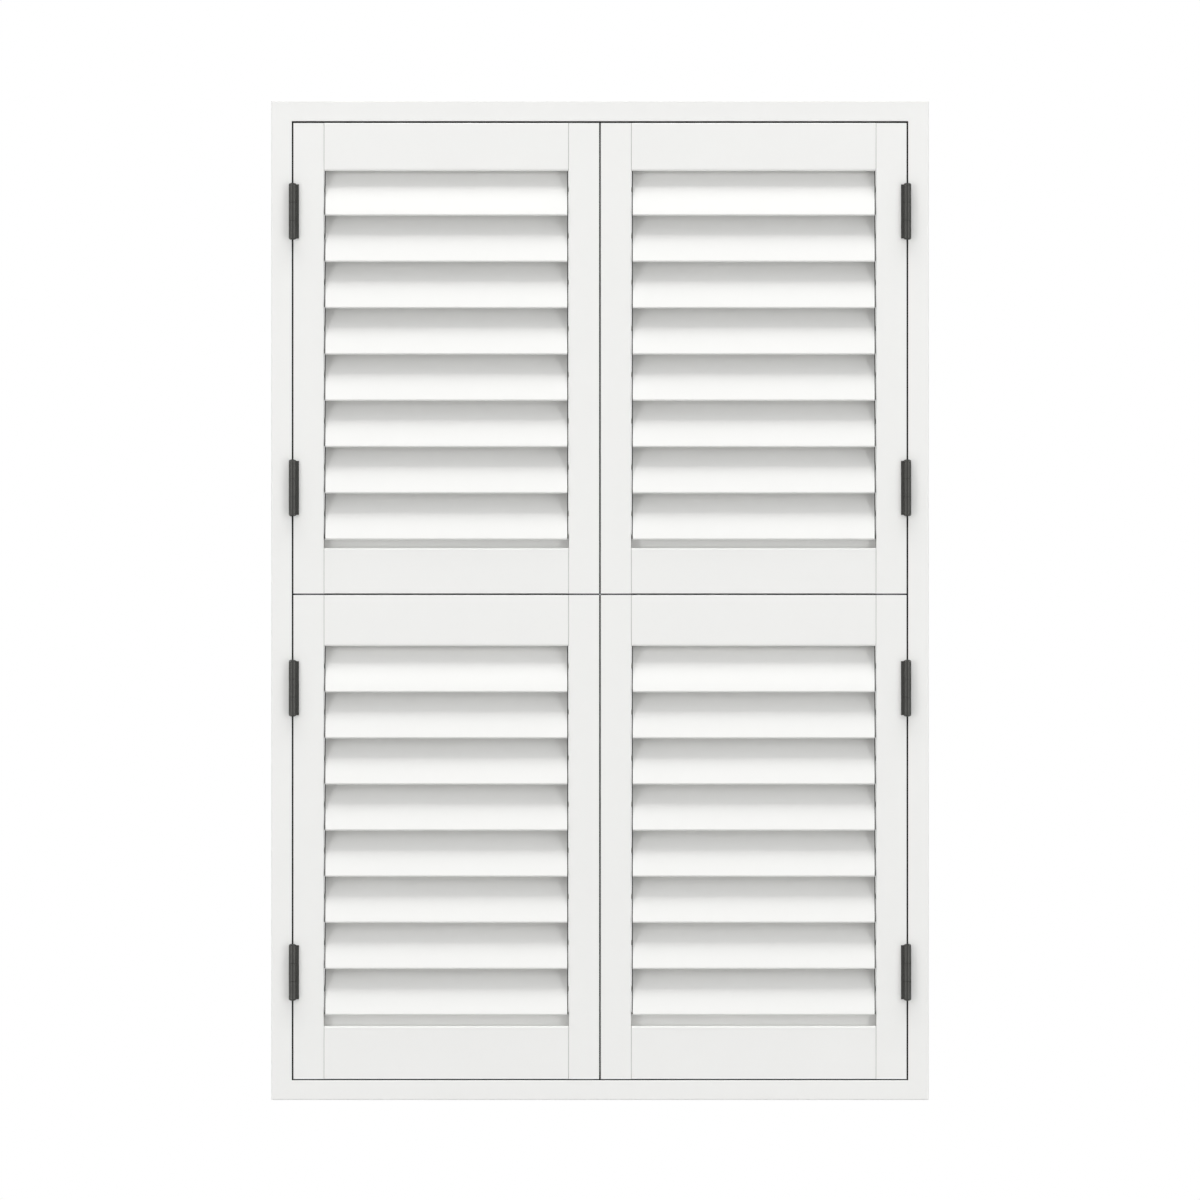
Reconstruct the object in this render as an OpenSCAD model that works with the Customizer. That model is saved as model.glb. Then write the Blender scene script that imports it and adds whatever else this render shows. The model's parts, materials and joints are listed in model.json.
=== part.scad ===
// Louvred shutters: two tiers of paired panels with tilting louvres, hinged in a rebated frame.
// X runs along the width, Y from the front to the back, Z up. The origin is the middle of the
// frame's underside.

/* [Frame] */
// Width over the frame's outer faces
frame_w = 1052; // [900:1:1300]
// Height over the frame's outer faces
frame_h = 1600; // [1450:1:1900]
// Depth of the frame, front to back
frame_d = 50; // [44:1:70]
// Width of a jamb's face
jamb_face = 33; // [28:0.5:45]
// Height of the head's face
head_face = 34; // [28:0.5:45]
// Height of the sill's face
sill_face = 31.5; // [28:0.5:45]
// Reach of the rear stop behind the panels
stop_w = 12; // [10:0.5:18]
// Rounding of the frame's front edges
frame_ease = 2; // [1:0.5:4]

/* [Gaps] */
// Gap between a panel and the jamb
side_gap = 2.4; // [2.2:0.1:4]
// Gap between the two panels of a tier
meeting_gap = 2.4; // [2:0.1:4]
// Gap between the head and the upper panels
top_gap = 2.8; // [1.5:0.1:4]
// Gap between the two tiers
tier_gap = 2.4; // [1.5:0.1:4]
// Gap between the sill and the lower panels
sill_gap = 2; // [1.5:0.1:4]
// Gap between a panel's back and the stop
stop_gap = 1; // [0.8:0.1:2]

/* [Panels] */
// Height of a lower panel
lower_panel_h = 774.5; // [700:0.5:860]
// Thickness of the stiles and rails
panel_d = 27; // [24:0.5:32]
// Width of a stile
stile_w = 49; // [44:0.5:60]
// Height of an upper panel's top rail
upper_top_rail = 76.5; // [60:0.5:100]
// Height of an upper panel's bottom rail
upper_bottom_rail = 73; // [60:0.5:100]
// Height of a lower panel's top rail
lower_top_rail = 81.5; // [60:0.5:100]
// Height of a lower panel's bottom rail
lower_bottom_rail = 85; // [60:0.5:120]
// Height of the light rabbet along a rail
rabbet_h = 21.5; // [14:0.5:24]
// Rounding of the rails' edges at the louvres
rail_ease = 3; // [1:0.5:5]
// Rounding of the stiles' edges and the panels' rims
panel_ease = 1; // [0.5:0.1:2]
// Back bevel of the meeting edges, so that a panel swings past its pair
meeting_bevel = 1.5; // [1.2:0.1:3]

/* [Louvres] */
// Width of a louvre, edge to edge
louvre_w = 89; // [80:0.5:92]
// Thickness of a louvre at its middle
louvre_t = 11; // [9:0.5:13]
// Radius of a louvre's nose
nose_r = 2.2; // [1.6:0.1:3]
// Lean of the louvres from upright, top edge to the back
tilt = 20; // [14:1:30]
// Mean distance from the end louvres' pivots to an upper panel's rails
upper_margin = 42.4; // [42:0.1:60]
// Mean distance from the end louvres' pivots to a lower panel's rails
lower_margin = 45.7; // [42:0.1:60]
// Rise of an upper panel's louvres above the middle of its opening
upper_lift = 12.6; // [8:0.1:14]
// Rise of a lower panel's louvres above the middle of its opening
lower_lift = 13.6; // [8:0.1:14]
// Gap between a louvre's end and the stile
end_gap = 2.2; // [1:0.1:3]
// Diameter of a louvre's end pin
pin_d = 8; // [6:0.5:9]
// Length of an end pin in the stile
pin_l = 12; // [8:0.5:20]

/* [Tilt bar] */
// Width of the tilt bar
bar_w = 8; // [7:0.5:9]
// Thickness of the tilt bar
bar_t = 2; // [1.5:0.1:3]
// Distance of the tilt bar from the louvres' hinge-side ends
bar_inset = 35; // [20:1:120]
// Reach of a link eye past the louvre's rear edge
eye_reach = 8; // [7:0.5:10]
// Offset of a link eye from the louvre's middle plane
eye_offset = 8; // [7:0.5:10]
// Diameter of a link rivet
rivet_d = 4; // [3:0.1:5]

/* [Hinges] */
// Height of a hinge over its caps
hinge_h = 91.4; // [70:0.1:110]
// Diameter of a hinge barrel
barrel_d = 12; // [10:0.1:14]
// Diameter of a hinge pin
hinge_pin_d = 6; // [4:0.1:7]
// Thickness of a hinge leaf
leaf_t = 1; // [0.8:0.05:1.05]
// Depth of a hinge leaf in the gap
leaf_reach = 22; // [16:0.5:24]
// Reach of the leaf's face strip from the barrel's axis
strip_reach = 10.2; // [9:0.1:16]
// Distance of an upper panel's top hinge below its top edge
upper_hinge_drop = 141.5; // [100:0.5:200]
// Distance of a lower panel's top hinge below its top edge
lower_hinge_drop = 149; // [100:0.5:200]
// Distance of an upper panel's bottom hinge above its bottom edge
upper_hinge_rise = 169; // [100:0.5:220]
// Distance of a lower panel's bottom hinge above its bottom edge
lower_hinge_rise = 171; // [100:0.5:220]

/* [Fixings] */
// Diameter of a fixing screw's hole
fixing_d = 5; // [4:0.5:6]
// Distance of the outer fixings from the frame's ends
outer_fixing = 100; // [60:1:140]
// Distance of the inner fixings from the frame's ends
inner_fixing = 450; // [300:1:560]
// Diameter of a catch magnet
magnet_d = 7; // [5:0.5:8]

/* [Hidden] */
overrun = 1;
round_facets = 64;
arc_facets = 360;
edge_steps = 4;
louvre_count = 8;
paint = "#f1f1ef";
dark_metal = "#464644";
alloy = "#b9bbbd";
pile = "#1c1c1c";
steel = "#8c8f92";

// Joinery: stub tenons on the rails, with a glue gap all round
tenon_t = 9;
tenon_l = 25;
tenon_inset = 12;
glue_gap = 0.1;
// Room at the ends of the blind pin holes, and the running clearances
pin_end_room = 1;
running_clearance = 0.05;
link_clearance = 0.1;
// Link on a louvre: arm, eye, and a rivet that holds the bar
arm_t = 3;
arm_w = 5;
eye_r = 4.5;
link_play = 0.3;
rivet_head_d = 7;
rivet_head_t = 1.2;
// Hinge caps and the clearances round the knuckles
cap_h = 2.5;
barrel_lift = 0.3;
knuckle_play = 0.5;
knuckle_clearance = 0.4;
// Countersinks of the fixing holes
sink_d = 10;
sink_h = 2.5;
// Pile seal on the stops, and magnets beside it
seal_w = 4;
seal_t = 0.7;
magnet_l = 8;
magnet_proud = 0.7;
magnet_x = 40;
magnet_seal_gap = 0.5;

tiers = ["lower", "upper"];
sides = ["left", "right"];
LOWER = 0;
UPPER = 1;

front_y = -frame_d / 2;
stop_y = front_y + panel_d + stop_gap;
panel_x = -frame_w / 2 + jamb_face + side_gap;
panel_w = frame_w / 2 - jamb_face - side_gap - meeting_gap / 2;
rail_w = panel_w - 2 * stile_w;
lower_z = sill_face + sill_gap;
upper_z = lower_z + lower_panel_h + tier_gap;
panel_z = [lower_z, upper_z];
panel_h = [lower_panel_h, frame_h - head_face - top_gap - upper_z];
top_rail_h = [lower_top_rail, upper_top_rail];
bottom_rail_h = [lower_bottom_rail, upper_bottom_rail];
pivot_margin = [lower_margin, upper_margin];
louvre_lift = [lower_lift, upper_lift];
hinge_drop = [lower_hinge_drop, upper_hinge_drop];
hinge_rise = [lower_hinge_rise, upper_hinge_rise];
lip_d = panel_d / 2;
pivot_y = panel_d / 2;
tenon_y = (panel_d - tenon_t) / 2;
blade_l = rail_w - 2 * end_gap;
nose_z = louvre_w / 2 - nose_r;
blade_arc_r = (pow(nose_z, 2) + pow(louvre_t / 2, 2) - pow(nose_r, 2)) / (louvre_t - 2 * nose_r);
nose_tangent_z = nose_z * blade_arc_r / (blade_arc_r - nose_r);
eye = [eye_offset, louvre_w / 2 + eye_reach];
eye_at_rest = [eye[0] * cos(tilt) + eye[1] * sin(tilt), eye[1] * cos(tilt) - eye[0] * sin(tilt)];
barrel_r = barrel_d / 2;
hinge_pin_r = hinge_pin_d / 2;
barrel_h = hinge_h - 2 * cap_h;
knuckle_h = barrel_h / 3;
face_plane = barrel_r + barrel_lift;
leaf_root = (barrel_r + hinge_pin_r) / 2;
strip_root = sqrt(pow(barrel_r + knuckle_clearance, 2) - pow(face_plane - leaf_t, 2));
magnet_offset = seal_w + magnet_seal_gap + magnet_d / 2;

function opening_h(tier) = panel_h[tier] - top_rail_h[tier] - bottom_rail_h[tier];
function pitch(tier) = (opening_h(tier) - 2 * pivot_margin[tier]) / (louvre_count - 1);
// Height of a louvre's pivot above its panel's bottom edge, louvre 1 at the top
function pivot_z(tier, i) =
    panel_h[tier] - top_rail_h[tier] - pivot_margin[tier] + louvre_lift[tier] - (i - 1) * pitch(tier);
function part_name(tier, side, piece) = str(tiers[tier], "_", side, "_", piece);
// Points of a round edge from one angle to another
function arc(centre, r, from, to) =
    [for (i = [0 : edge_steps])
        let (a = from + (to - from) * i / edge_steps)
        centre + r * [cos(a), sin(a)]];

panel_pieces = concat(
    ["hinge_stile", "meeting_stile", "rails", "hinge_leaves", "tilt_bar"],
    [for (i = [1 : louvre_count]) str("louvre_", i)]);

// Places a left-hand piece, or its mirror image on the right
module on_side(side) {
    mirror([side == "right" ? 1 : 0, 0, 0]) children();
}

// Moves to a panel's own corner: hinge edge, front face, bottom edge
module panel_at(tier, side) {
    on_side(side) translate([panel_x, front_y, panel_z[tier]]) children();
}

// Stands a (Y, Z) section up and runs it along X
module run_along_x(length) {
    rotate([90, 0, 90]) linear_extrude(length) children();
}

// Section of a frame member: u inwards from the outer face, v back from the front
module frame_section(face) {
    rebate_d = stop_y - front_y;
    polygon(concat(
        arc([frame_ease, frame_ease], frame_ease, 180, 270),
        arc([face - frame_ease / 2, frame_ease / 2], frame_ease / 2, 270, 360),
        [[face, rebate_d], [face + stop_w, rebate_d], [face + stop_w, frame_d], [0, frame_d]]));
}

// Keeps what lies inside an (X, Z) outline, for the mitred ends
module mitred(outline) {
    intersection() {
        children();
        translate([0, frame_d, 0]) rotate([90, 0, 0]) linear_extrude(2 * frame_d) polygon(outline);
    }
}

// A member across the frame, lying at the bottom
module cross_member(face) {
    half_w = frame_w / 2;
    mitred([
        [-half_w, 0], [half_w, 0],
        [half_w - jamb_face, face], [half_w - jamb_face - stop_w, face + stop_w],
        [-half_w + jamb_face + stop_w, face + stop_w], [-half_w + jamb_face, face]])
        translate([half_w, front_y, 0]) rotate([0, -90, 0]) linear_extrude(frame_w) frame_section(face);
}

// The pair of magnets that catch the panels, in a stop at the bottom
module magnet_pair(face, room) {
    for (side = sides)
        on_side(side) translate([-magnet_x, stop_y - magnet_proud, face + magnet_offset])
            rotate([-90, 0, 0])
                cylinder(h = magnet_l + room, d = magnet_d + 2 * room, $fn = round_facets);
}

module frame_sill() {
    color(paint) difference() {
        cross_member(sill_face);
        magnet_pair(sill_face, running_clearance);
    }
}

module frame_head() {
    color(paint) translate([0, 0, frame_h]) mirror([0, 0, 1]) difference() {
        cross_member(head_face);
        magnet_pair(head_face, running_clearance);
    }
}

module catch_magnets() {
    color(steel) {
        magnet_pair(sill_face, 0);
        translate([0, 0, frame_h]) mirror([0, 0, 1]) magnet_pair(head_face, 0);
    }
}

// A screw hole from the rebate out through the jamb, countersunk on the rebate's side
module fixing_hole() {
    rotate([0, -90, 0]) {
        translate([0, 0, -overrun])
            cylinder(h = jamb_face + 2 * overrun, d = fixing_d, $fn = round_facets);
        cylinder(h = sink_h, d1 = sink_d, d2 = fixing_d, $fn = round_facets);
    }
}

module jamb(side) {
    half_w = frame_w / 2;
    heights = [outer_fixing, inner_fixing, frame_h - inner_fixing, frame_h - outer_fixing];
    color(paint) on_side(side) difference() {
        mitred([
            [-half_w, 0], [-half_w + jamb_face, sill_face],
            [-half_w + jamb_face + stop_w, sill_face + stop_w],
            [-half_w + jamb_face + stop_w, frame_h - head_face - stop_w],
            [-half_w + jamb_face, frame_h - head_face], [-half_w, frame_h]])
            translate([-half_w, front_y, 0]) linear_extrude(frame_h) frame_section(jamb_face);
        for (z = heights)
            translate([-half_w + jamb_face, front_y + pivot_y, z]) fixing_hole();
    }
}

module frame_left_jamb() {
    jamb("left");
}

module frame_right_jamb() {
    jamb("right");
}

// Ring of dark pile on the stops, which closes the gaps round the panels
module frame_seals() {
    inner_w = frame_w - 2 * jamb_face;
    inner_h = frame_h - sill_face - head_face;
    color(pile) translate([-inner_w / 2, stop_y, sill_face]) rotate([90, 0, 0])
        linear_extrude(seal_t) difference() {
            square([inner_w, inner_h]);
            translate([seal_w, seal_w]) square([inner_w - 2 * seal_w, inner_h - 2 * seal_w]);
        }
}

// Outline of a stile from above, with an optional back bevel on its far edge
module stile_outline(bevel) {
    polygon(concat(
        arc([panel_ease, panel_ease], panel_ease, 180, 270),
        arc([stile_w - panel_ease, panel_ease], panel_ease, 270, 360),
        [[stile_w - bevel, panel_d], [0, panel_d]]));
}

// The tenons of both rails with the glue gap round them
module tenon_pockets(tier, room) {
    top_foot = panel_h[tier] - top_rail_h[tier] + rabbet_h;
    for (rail = [[0, bottom_rail_h[tier]], [top_foot, panel_h[tier] - top_foot]])
        translate([stile_w - tenon_l - room, tenon_y - room, rail[0] + tenon_inset - room])
            cube([
                rail_w + 2 * (tenon_l + room),
                tenon_t + 2 * room,
                rail[1] - 2 * (tenon_inset - room)]);
}

// What both stiles are cut by: mortises and the louvres' pin holes
module stile_cuts(tier) {
    bore_l = rail_w + 2 * (pin_l + pin_end_room);
    tenon_pockets(tier, glue_gap);
    for (i = [1 : louvre_count])
        translate([stile_w - pin_l - pin_end_room, pivot_y, pivot_z(tier, i)]) rotate([0, 90, 0])
            cylinder(h = bore_l, d = pin_d + 2 * running_clearance, $fn = round_facets);
}

module hinge_stile(tier) {
    color(paint) difference() {
        linear_extrude(panel_h[tier]) stile_outline(0);
        stile_cuts(tier);
    }
}

module meeting_stile(tier) {
    color(paint) difference() {
        translate([panel_w - stile_w, 0, 0])
            linear_extrude(panel_h[tier]) stile_outline(meeting_bevel);
        stile_cuts(tier);
    }
}

// Top rail section: a front lip hangs below the rear, so that a louvre's top edge tucks behind it
module top_rail_section(h) {
    polygon(concat(
        arc([rail_ease, rail_ease], rail_ease, 180, 270),
        [[lip_d, 0], [lip_d, rabbet_h], [panel_d, rabbet_h], [panel_d, h]],
        arc([panel_ease, h - panel_ease], panel_ease, 90, 180)));
}

// Bottom rail section: a rear lip stands up behind the lowest louvre
module bottom_rail_section(h) {
    polygon(concat(
        arc([panel_ease, panel_ease], panel_ease, 180, 270),
        [[panel_d, 0], [panel_d, h + rabbet_h]],
        [[panel_d - lip_d, h + rabbet_h], [panel_d - lip_d, h]],
        arc([rail_ease, h - rail_ease], rail_ease, 90, 180)));
}

// Outline of a rail from above, with eased shoulders that make a fine groove beside each stile
module rail_outline() {
    polygon(concat(
        arc([panel_ease, panel_ease], panel_ease, 180, 270),
        arc([rail_w - panel_ease, panel_ease], panel_ease, 270, 360),
        [[rail_w, panel_d], [0, panel_d]]));
}

module rails(tier) {
    color(paint) {
        intersection() {
            translate([stile_w, 0, 0]) linear_extrude(panel_h[tier]) rail_outline();
            union() {
                translate([stile_w, 0, 0]) run_along_x(rail_w) bottom_rail_section(bottom_rail_h[tier]);
                translate([stile_w, 0, panel_h[tier] - top_rail_h[tier]])
                    run_along_x(rail_w) top_rail_section(top_rail_h[tier]);
            }
        }
        tenon_pockets(tier, 0);
    }
}

// Lens of two large arcs with round noses, standing upright
module louvre_section() {
    intersection() {
        translate([blade_arc_r - louvre_t / 2, 0]) circle(blade_arc_r, $fn = arc_facets);
        translate([louvre_t / 2 - blade_arc_r, 0]) circle(blade_arc_r, $fn = arc_facets);
        square([louvre_t + overrun, 2 * nose_tangent_z], center = true);
    }
    for (z = [-nose_z, nose_z])
        translate([0, z]) circle(nose_r, $fn = round_facets);
}

// Arm and eye behind the louvre's upper edge, seen along the louvre
module link_arm_section() {
    root = [0, nose_z - arm_w / 2];
    along = (eye - root) / norm(eye - root);
    across = [-along[1], along[0]] * arm_w / 2;
    polygon([root - across, root + across, eye + across, eye - across]);
    translate(eye) circle(eye_r, $fn = round_facets);
}

// Arm with the rivet that carries the tilt bar
module link() {
    run_along_x(arm_t) link_arm_section();
    translate([0, eye[0], eye[1]]) rotate([0, 90, 0]) {
        cylinder(h = arm_t + bar_t + 2 * link_play + rivet_head_t, d = rivet_d, $fn = round_facets);
        translate([0, 0, arm_t + bar_t + 2 * link_play])
            cylinder(h = rivet_head_t, d = rivet_head_d, $fn = round_facets);
    }
}

module louvre(tier, i) {
    color(paint) translate([stile_w + end_gap, pivot_y, pivot_z(tier, i)]) rotate([-tilt, 0, 0]) {
        run_along_x(blade_l) louvre_section();
        translate([-end_gap - pin_l, 0, 0]) rotate([0, 90, 0])
            cylinder(h = blade_l + 2 * (end_gap + pin_l), d = pin_d, $fn = round_facets);
        translate([bar_inset, 0, 0]) link();
    }
}

// Flat strip with round ends that ties the louvres' links together
module tilt_bar(tier) {
    foot = [pivot_y, pivot_z(tier, louvre_count)] + eye_at_rest;
    top = [pivot_y, pivot_z(tier, 1)] + eye_at_rest;
    color(alloy) translate([stile_w + end_gap + bar_inset + arm_t + link_play, 0, 0])
        run_along_x(bar_t) difference() {
            polygon(concat(arc(foot, bar_w / 2, 180, 360), arc(top, bar_w / 2, 0, 180)));
            for (i = [1 : louvre_count])
                translate([pivot_y, pivot_z(tier, i)] + eye_at_rest)
                    circle(d = rivet_d + 2 * link_clearance, $fn = round_facets);
        }
}

// Moves to each hinge of a panel: barrel axis, middle of the height
module at_hinges(tier) {
    for (z = [hinge_rise[tier], panel_h[tier] - hinge_drop[tier]])
        translate([-side_gap / 2, -face_plane, z]) children();
}

module hinge_bore() {
    cylinder(h = hinge_h, d = hinge_pin_d + 2 * running_clearance, center = true, $fn = round_facets);
}

// Knuckle 0, 1 or 2, counted from the bottom
module knuckle(k) {
    translate([0, 0, (k - 1) * knuckle_h])
        cylinder(h = knuckle_h - knuckle_play, d = barrel_d, center = true, $fn = round_facets);
}

// A band across the barrel's height that leaves room for the other leaf's knuckle, in (depth, Z)
module knuckle_notch(k, depth) {
    translate([-overrun, (k - 1) * knuckle_h - knuckle_h / 2 - knuckle_play])
        square([depth + overrun, knuckle_h + 2 * knuckle_play]);
}

// Plate in the gap, notched in front where the other leaf has its knuckles
module edge_plate(notches) {
    run_along_x(leaf_t) difference() {
        translate([leaf_root, -barrel_h / 2]) square([face_plane + leaf_reach - leaf_root, barrel_h]);
        for (k = notches)
            knuckle_notch(k, face_plane);
    }
}

module frame_leaf() {
    difference() {
        union() {
            knuckle(0);
            knuckle(2);
            translate([-side_gap / 2, 0, 0]) edge_plate([1]);
        }
        hinge_bore();
    }
}

// Strip of the panel's leaf that wraps on to the panel's face and runs in behind the barrel, in (X, Z)
module face_strip() {
    translate([0, face_plane, 0]) rotate([90, 0, 0]) linear_extrude(leaf_t) difference() {
        translate([side_gap / 2 - leaf_t, -barrel_h / 2])
            square([strip_reach - side_gap / 2 + leaf_t, barrel_h]);
        for (k = [0, 2])
            knuckle_notch(k, strip_root);
    }
}

module panel_leaf() {
    difference() {
        union() {
            knuckle(1);
            translate([side_gap / 2 - leaf_t, 0, 0]) edge_plate([0, 2]);
            face_strip();
        }
        hinge_bore();
    }
}

module hinge_leaves(tier) {
    color(dark_metal) at_hinges(tier) panel_leaf();
}

module frame_hinge_leaves() {
    color(dark_metal) for (tier = [LOWER, UPPER], side = sides)
        panel_at(tier, side) at_hinges(tier) frame_leaf();
}

// Pin with a domed cap at each end
module hinge_pin() {
    dome = [for (i = [0 : edge_steps])
        let (a = 90 * i / edge_steps)
        [barrel_r * cos(a), cap_h * sin(a)]];
    upper = [for (p = dome) [p[0], barrel_h / 2 + p[1]]];
    lower = [for (i = [edge_steps : -1 : 0]) [dome[i][0], -barrel_h / 2 - dome[i][1]]];
    rotate_extrude($fn = round_facets)
        polygon(concat(lower, [[hinge_pin_r, -barrel_h / 2], [hinge_pin_r, barrel_h / 2]], upper));
}

module hinge_pins() {
    color(dark_metal) for (tier = [LOWER, UPPER], side = sides)
        panel_at(tier, side) at_hinges(tier) hinge_pin();
}

frame_head();
frame_sill();
frame_left_jamb();
frame_right_jamb();
frame_seals();
frame_hinge_leaves();
hinge_pins();
catch_magnets();
for (tier = [LOWER, UPPER], side = sides)
    panel_at(tier, side) {
        hinge_stile(tier);
        meeting_stile(tier);
        rails(tier);
        hinge_leaves(tier);
        tilt_bar(tier);
        for (i = [1 : louvre_count])
            louvre(tier, i);
    }
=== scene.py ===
# %% [markdown]
# # White louvred shutters, tier on tier
# Two tiers of paired panels hang in one mitred frame, and each panel holds eight louvres that tilt together.
# The joinery, the louvres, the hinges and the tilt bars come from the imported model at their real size.
# This lesson gives them their finishes, adds the thin trim that a joiner fits last, and sets up the studio.

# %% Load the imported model
import json
import math

import bpy
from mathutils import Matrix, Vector


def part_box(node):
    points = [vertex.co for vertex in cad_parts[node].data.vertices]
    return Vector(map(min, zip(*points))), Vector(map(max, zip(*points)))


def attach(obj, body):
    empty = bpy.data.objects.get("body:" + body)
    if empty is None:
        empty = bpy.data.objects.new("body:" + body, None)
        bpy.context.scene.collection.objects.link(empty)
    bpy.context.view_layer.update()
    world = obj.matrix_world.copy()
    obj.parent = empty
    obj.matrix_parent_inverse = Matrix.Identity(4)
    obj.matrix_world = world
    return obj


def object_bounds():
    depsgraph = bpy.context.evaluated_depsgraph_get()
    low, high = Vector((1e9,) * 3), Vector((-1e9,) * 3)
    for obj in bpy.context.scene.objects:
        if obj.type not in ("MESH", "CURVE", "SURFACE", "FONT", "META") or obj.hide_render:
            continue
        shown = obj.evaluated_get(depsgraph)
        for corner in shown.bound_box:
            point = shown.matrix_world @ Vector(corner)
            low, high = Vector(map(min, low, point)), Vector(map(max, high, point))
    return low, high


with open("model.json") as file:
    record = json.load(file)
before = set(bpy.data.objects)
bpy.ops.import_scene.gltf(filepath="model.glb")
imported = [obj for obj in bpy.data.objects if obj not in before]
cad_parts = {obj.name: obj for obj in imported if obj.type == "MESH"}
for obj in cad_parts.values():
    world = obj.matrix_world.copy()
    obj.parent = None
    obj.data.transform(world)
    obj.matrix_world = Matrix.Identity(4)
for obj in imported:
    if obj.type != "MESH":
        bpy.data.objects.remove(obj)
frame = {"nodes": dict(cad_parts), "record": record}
cad_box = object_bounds()

# %% [markdown]
# ## Helpers for every finish
# Colours are given as sRGB hex values, but a shader works with linear light, so one function
# converts them. A second one adds a shader node, sets its values and links its inputs, which keeps each
# finish below down to a few lines that read like the node editor. A third starts a material with Object
# coordinates, because a pattern on those stays with its piece when the piece moves.

# %% Colour and node helpers
def linear(hex_colour):
    """Linear RGBA of an sRGB hex colour such as "808080"."""
    channels = [int(hex_colour[i:i + 2], 16) / 255 for i in (0, 2, 4)]
    return [c / 12.92 if c <= 0.04045 else ((c + 0.055) / 1.055) ** 2.4 for c in channels] + [1.0]


def add_node(tree, kind, settings=None, links=None):
    """Adds a node, sets its sockets or properties by name, and links its inputs."""
    node = tree.nodes.new(kind)
    for name, value in (settings or {}).items():
        if name in node.inputs:
            node.inputs[name].default_value = value
        else:
            setattr(node, name, value)
    for name, source in (links or {}).items():
        tree.links.new(source, node.inputs[name])
    return node


def new_finish(name):
    """A new material, its tree, its shader and its Object coordinates in metres."""
    finish = bpy.data.materials.new(name)
    finish.use_nodes = True
    tree = finish.node_tree
    tree.nodes.clear()
    place = add_node(tree, "ShaderNodeTexCoord").outputs["Object"]
    shader = add_node(tree, "ShaderNodeBsdfPrincipled")
    add_node(tree, "ShaderNodeOutputMaterial", links={"Surface": shader.outputs["BSDF"]})
    return finish, tree, shader, place


print("a grey of 808080 in linear light:", round(linear("808080")[0], 3))

# %% [markdown]
# ## Satin white paint on wood
# The frame, stiles and rails are hardwood, sprayed with a satin white lacquer. Up close the eye gets an even
# white, a soft sheen, and the faint ripple that painters call orange peel. One noise gives the ripple as a
# bump, and a wide slow noise lets the white drift by a shade, so that long flat faces don't look printed.
# The louvres' white is a shade darker than the joinery's, as painted shade that offsets the stronger light on
# their upturned faces, and their ripple is drawn out along their length.

# %% Satin white paint
MM = 0.001
PAINT_IOR = 1.49
PAINT_ROUGHNESS = (0.40, 0.50)
RIPPLE_MM = 5.0  # the coarse end of real orange peel, because finer ripple wouldn't show
RIPPLE_HEIGHT = 0.08 * MM
RIPPLE_STRENGTH = 0.12
DRIFT_MM = 240.0
JOINERY_PAINT = {"white": "f7f7f5", "shade": "f4f4f2", "stretch": (1.0, 1.0, 0.35)}
# The louvres' colours are darker than the joinery's: painted shade, offsetting the stronger light on their
# upturned faces.
LOUVRE_PAINT_SHADED = {"white": "ededeb", "shade": "ebebe9", "stretch": (0.25, 1.0, 1.0)}


def satin_white(name, white, shade, stretch):
    """Sprayed satin lacquer with a ripple drawn out by stretch, its shader and its coordinates."""
    finish, tree, shader, place = new_finish(name)
    grain = add_node(tree, "ShaderNodeMapping", {"Scale": stretch}, {"Vector": place})
    ripple = add_node(tree, "ShaderNodeTexNoise", {"Scale": 1 / (RIPPLE_MM * MM), "Detail": 2.0},
                      {"Vector": grain.outputs["Vector"]})
    drift = add_node(tree, "ShaderNodeTexNoise", {"Scale": 1 / (DRIFT_MM * MM), "Detail": 3.0},
                     {"Vector": place})
    tone = add_node(tree, "ShaderNodeValToRGB", links={"Fac": drift.outputs["Fac"]})
    tone.color_ramp.elements[0].color = linear(shade)
    tone.color_ramp.elements[1].color = linear(white)
    sheen = add_node(tree, "ShaderNodeMapRange", {"To Min": PAINT_ROUGHNESS[0], "To Max": PAINT_ROUGHNESS[1]},
                     {"Value": ripple.outputs["Fac"]})
    bump = add_node(tree, "ShaderNodeBump", {"Strength": RIPPLE_STRENGTH, "Distance": RIPPLE_HEIGHT},
                    {"Height": ripple.outputs["Fac"]})
    shader.inputs["IOR"].default_value = PAINT_IOR
    tree.links.new(tone.outputs["Color"], shader.inputs["Base Color"])
    tree.links.new(sheen.outputs["Result"], shader.inputs["Roughness"])
    tree.links.new(bump.outputs["Normal"], shader.inputs["Normal"])
    return finish, shader, place


finishes = {
    "painted_wood": satin_white("satin white lacquer on joinery", **JOINERY_PAINT)[0],
    "painted_louvre": satin_white("satin white lacquer on louvres, darkened as painted shade", **LOUVRE_PAINT_SHADED)[0],
}
print("paint:", sorted(finishes))

# %% [markdown]
# ## Painted shade in the joints
# Where a rail's shoulder meets a stile there is a fine groove, and the shade in it is painted as a grey
# hairline.
# A thin strip of mesh could show it, but it is only a colour, so it belongs in the paint. All these joints
# are upright lines, at two distances from the middle of the shutters, and a point's X says how near they are.

# %% Panel paint with painted shade in the joints
# The grey of the painted shade in the joint grooves, and how wide it is.
JOINT_SHADE_GREY = "a8a7a4"
SHADE_CORE = 0.2 * MM
SHADE_EDGE = 0.5 * MM
panel_paint, shader, place = satin_white("satin white lacquer on panels", **JOINERY_PAINT)
tree = panel_paint.node_tree
across = add_node(tree, "ShaderNodeSeparateXYZ", links={"Vector": place}).outputs["X"]
from_middle = add_node(tree, "ShaderNodeMath", {"operation": "ABSOLUTE"}, {0: across}).outputs["Value"]
nearness = []
for joint_x in (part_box("upper_right_meeting_stile")[1].x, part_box("upper_right_hinge_stile")[0].x):
    offset = add_node(tree, "ShaderNodeMath", {"operation": "SUBTRACT"}, {0: from_middle})
    offset.inputs[1].default_value = joint_x
    nearness.append(add_node(tree, "ShaderNodeMath", {"operation": "ABSOLUTE"}, {0: offset.outputs["Value"]}))
nearest = add_node(tree, "ShaderNodeMath", {"operation": "MINIMUM"},
                   {0: nearness[0].outputs["Value"], 1: nearness[1].outputs["Value"]})
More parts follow.
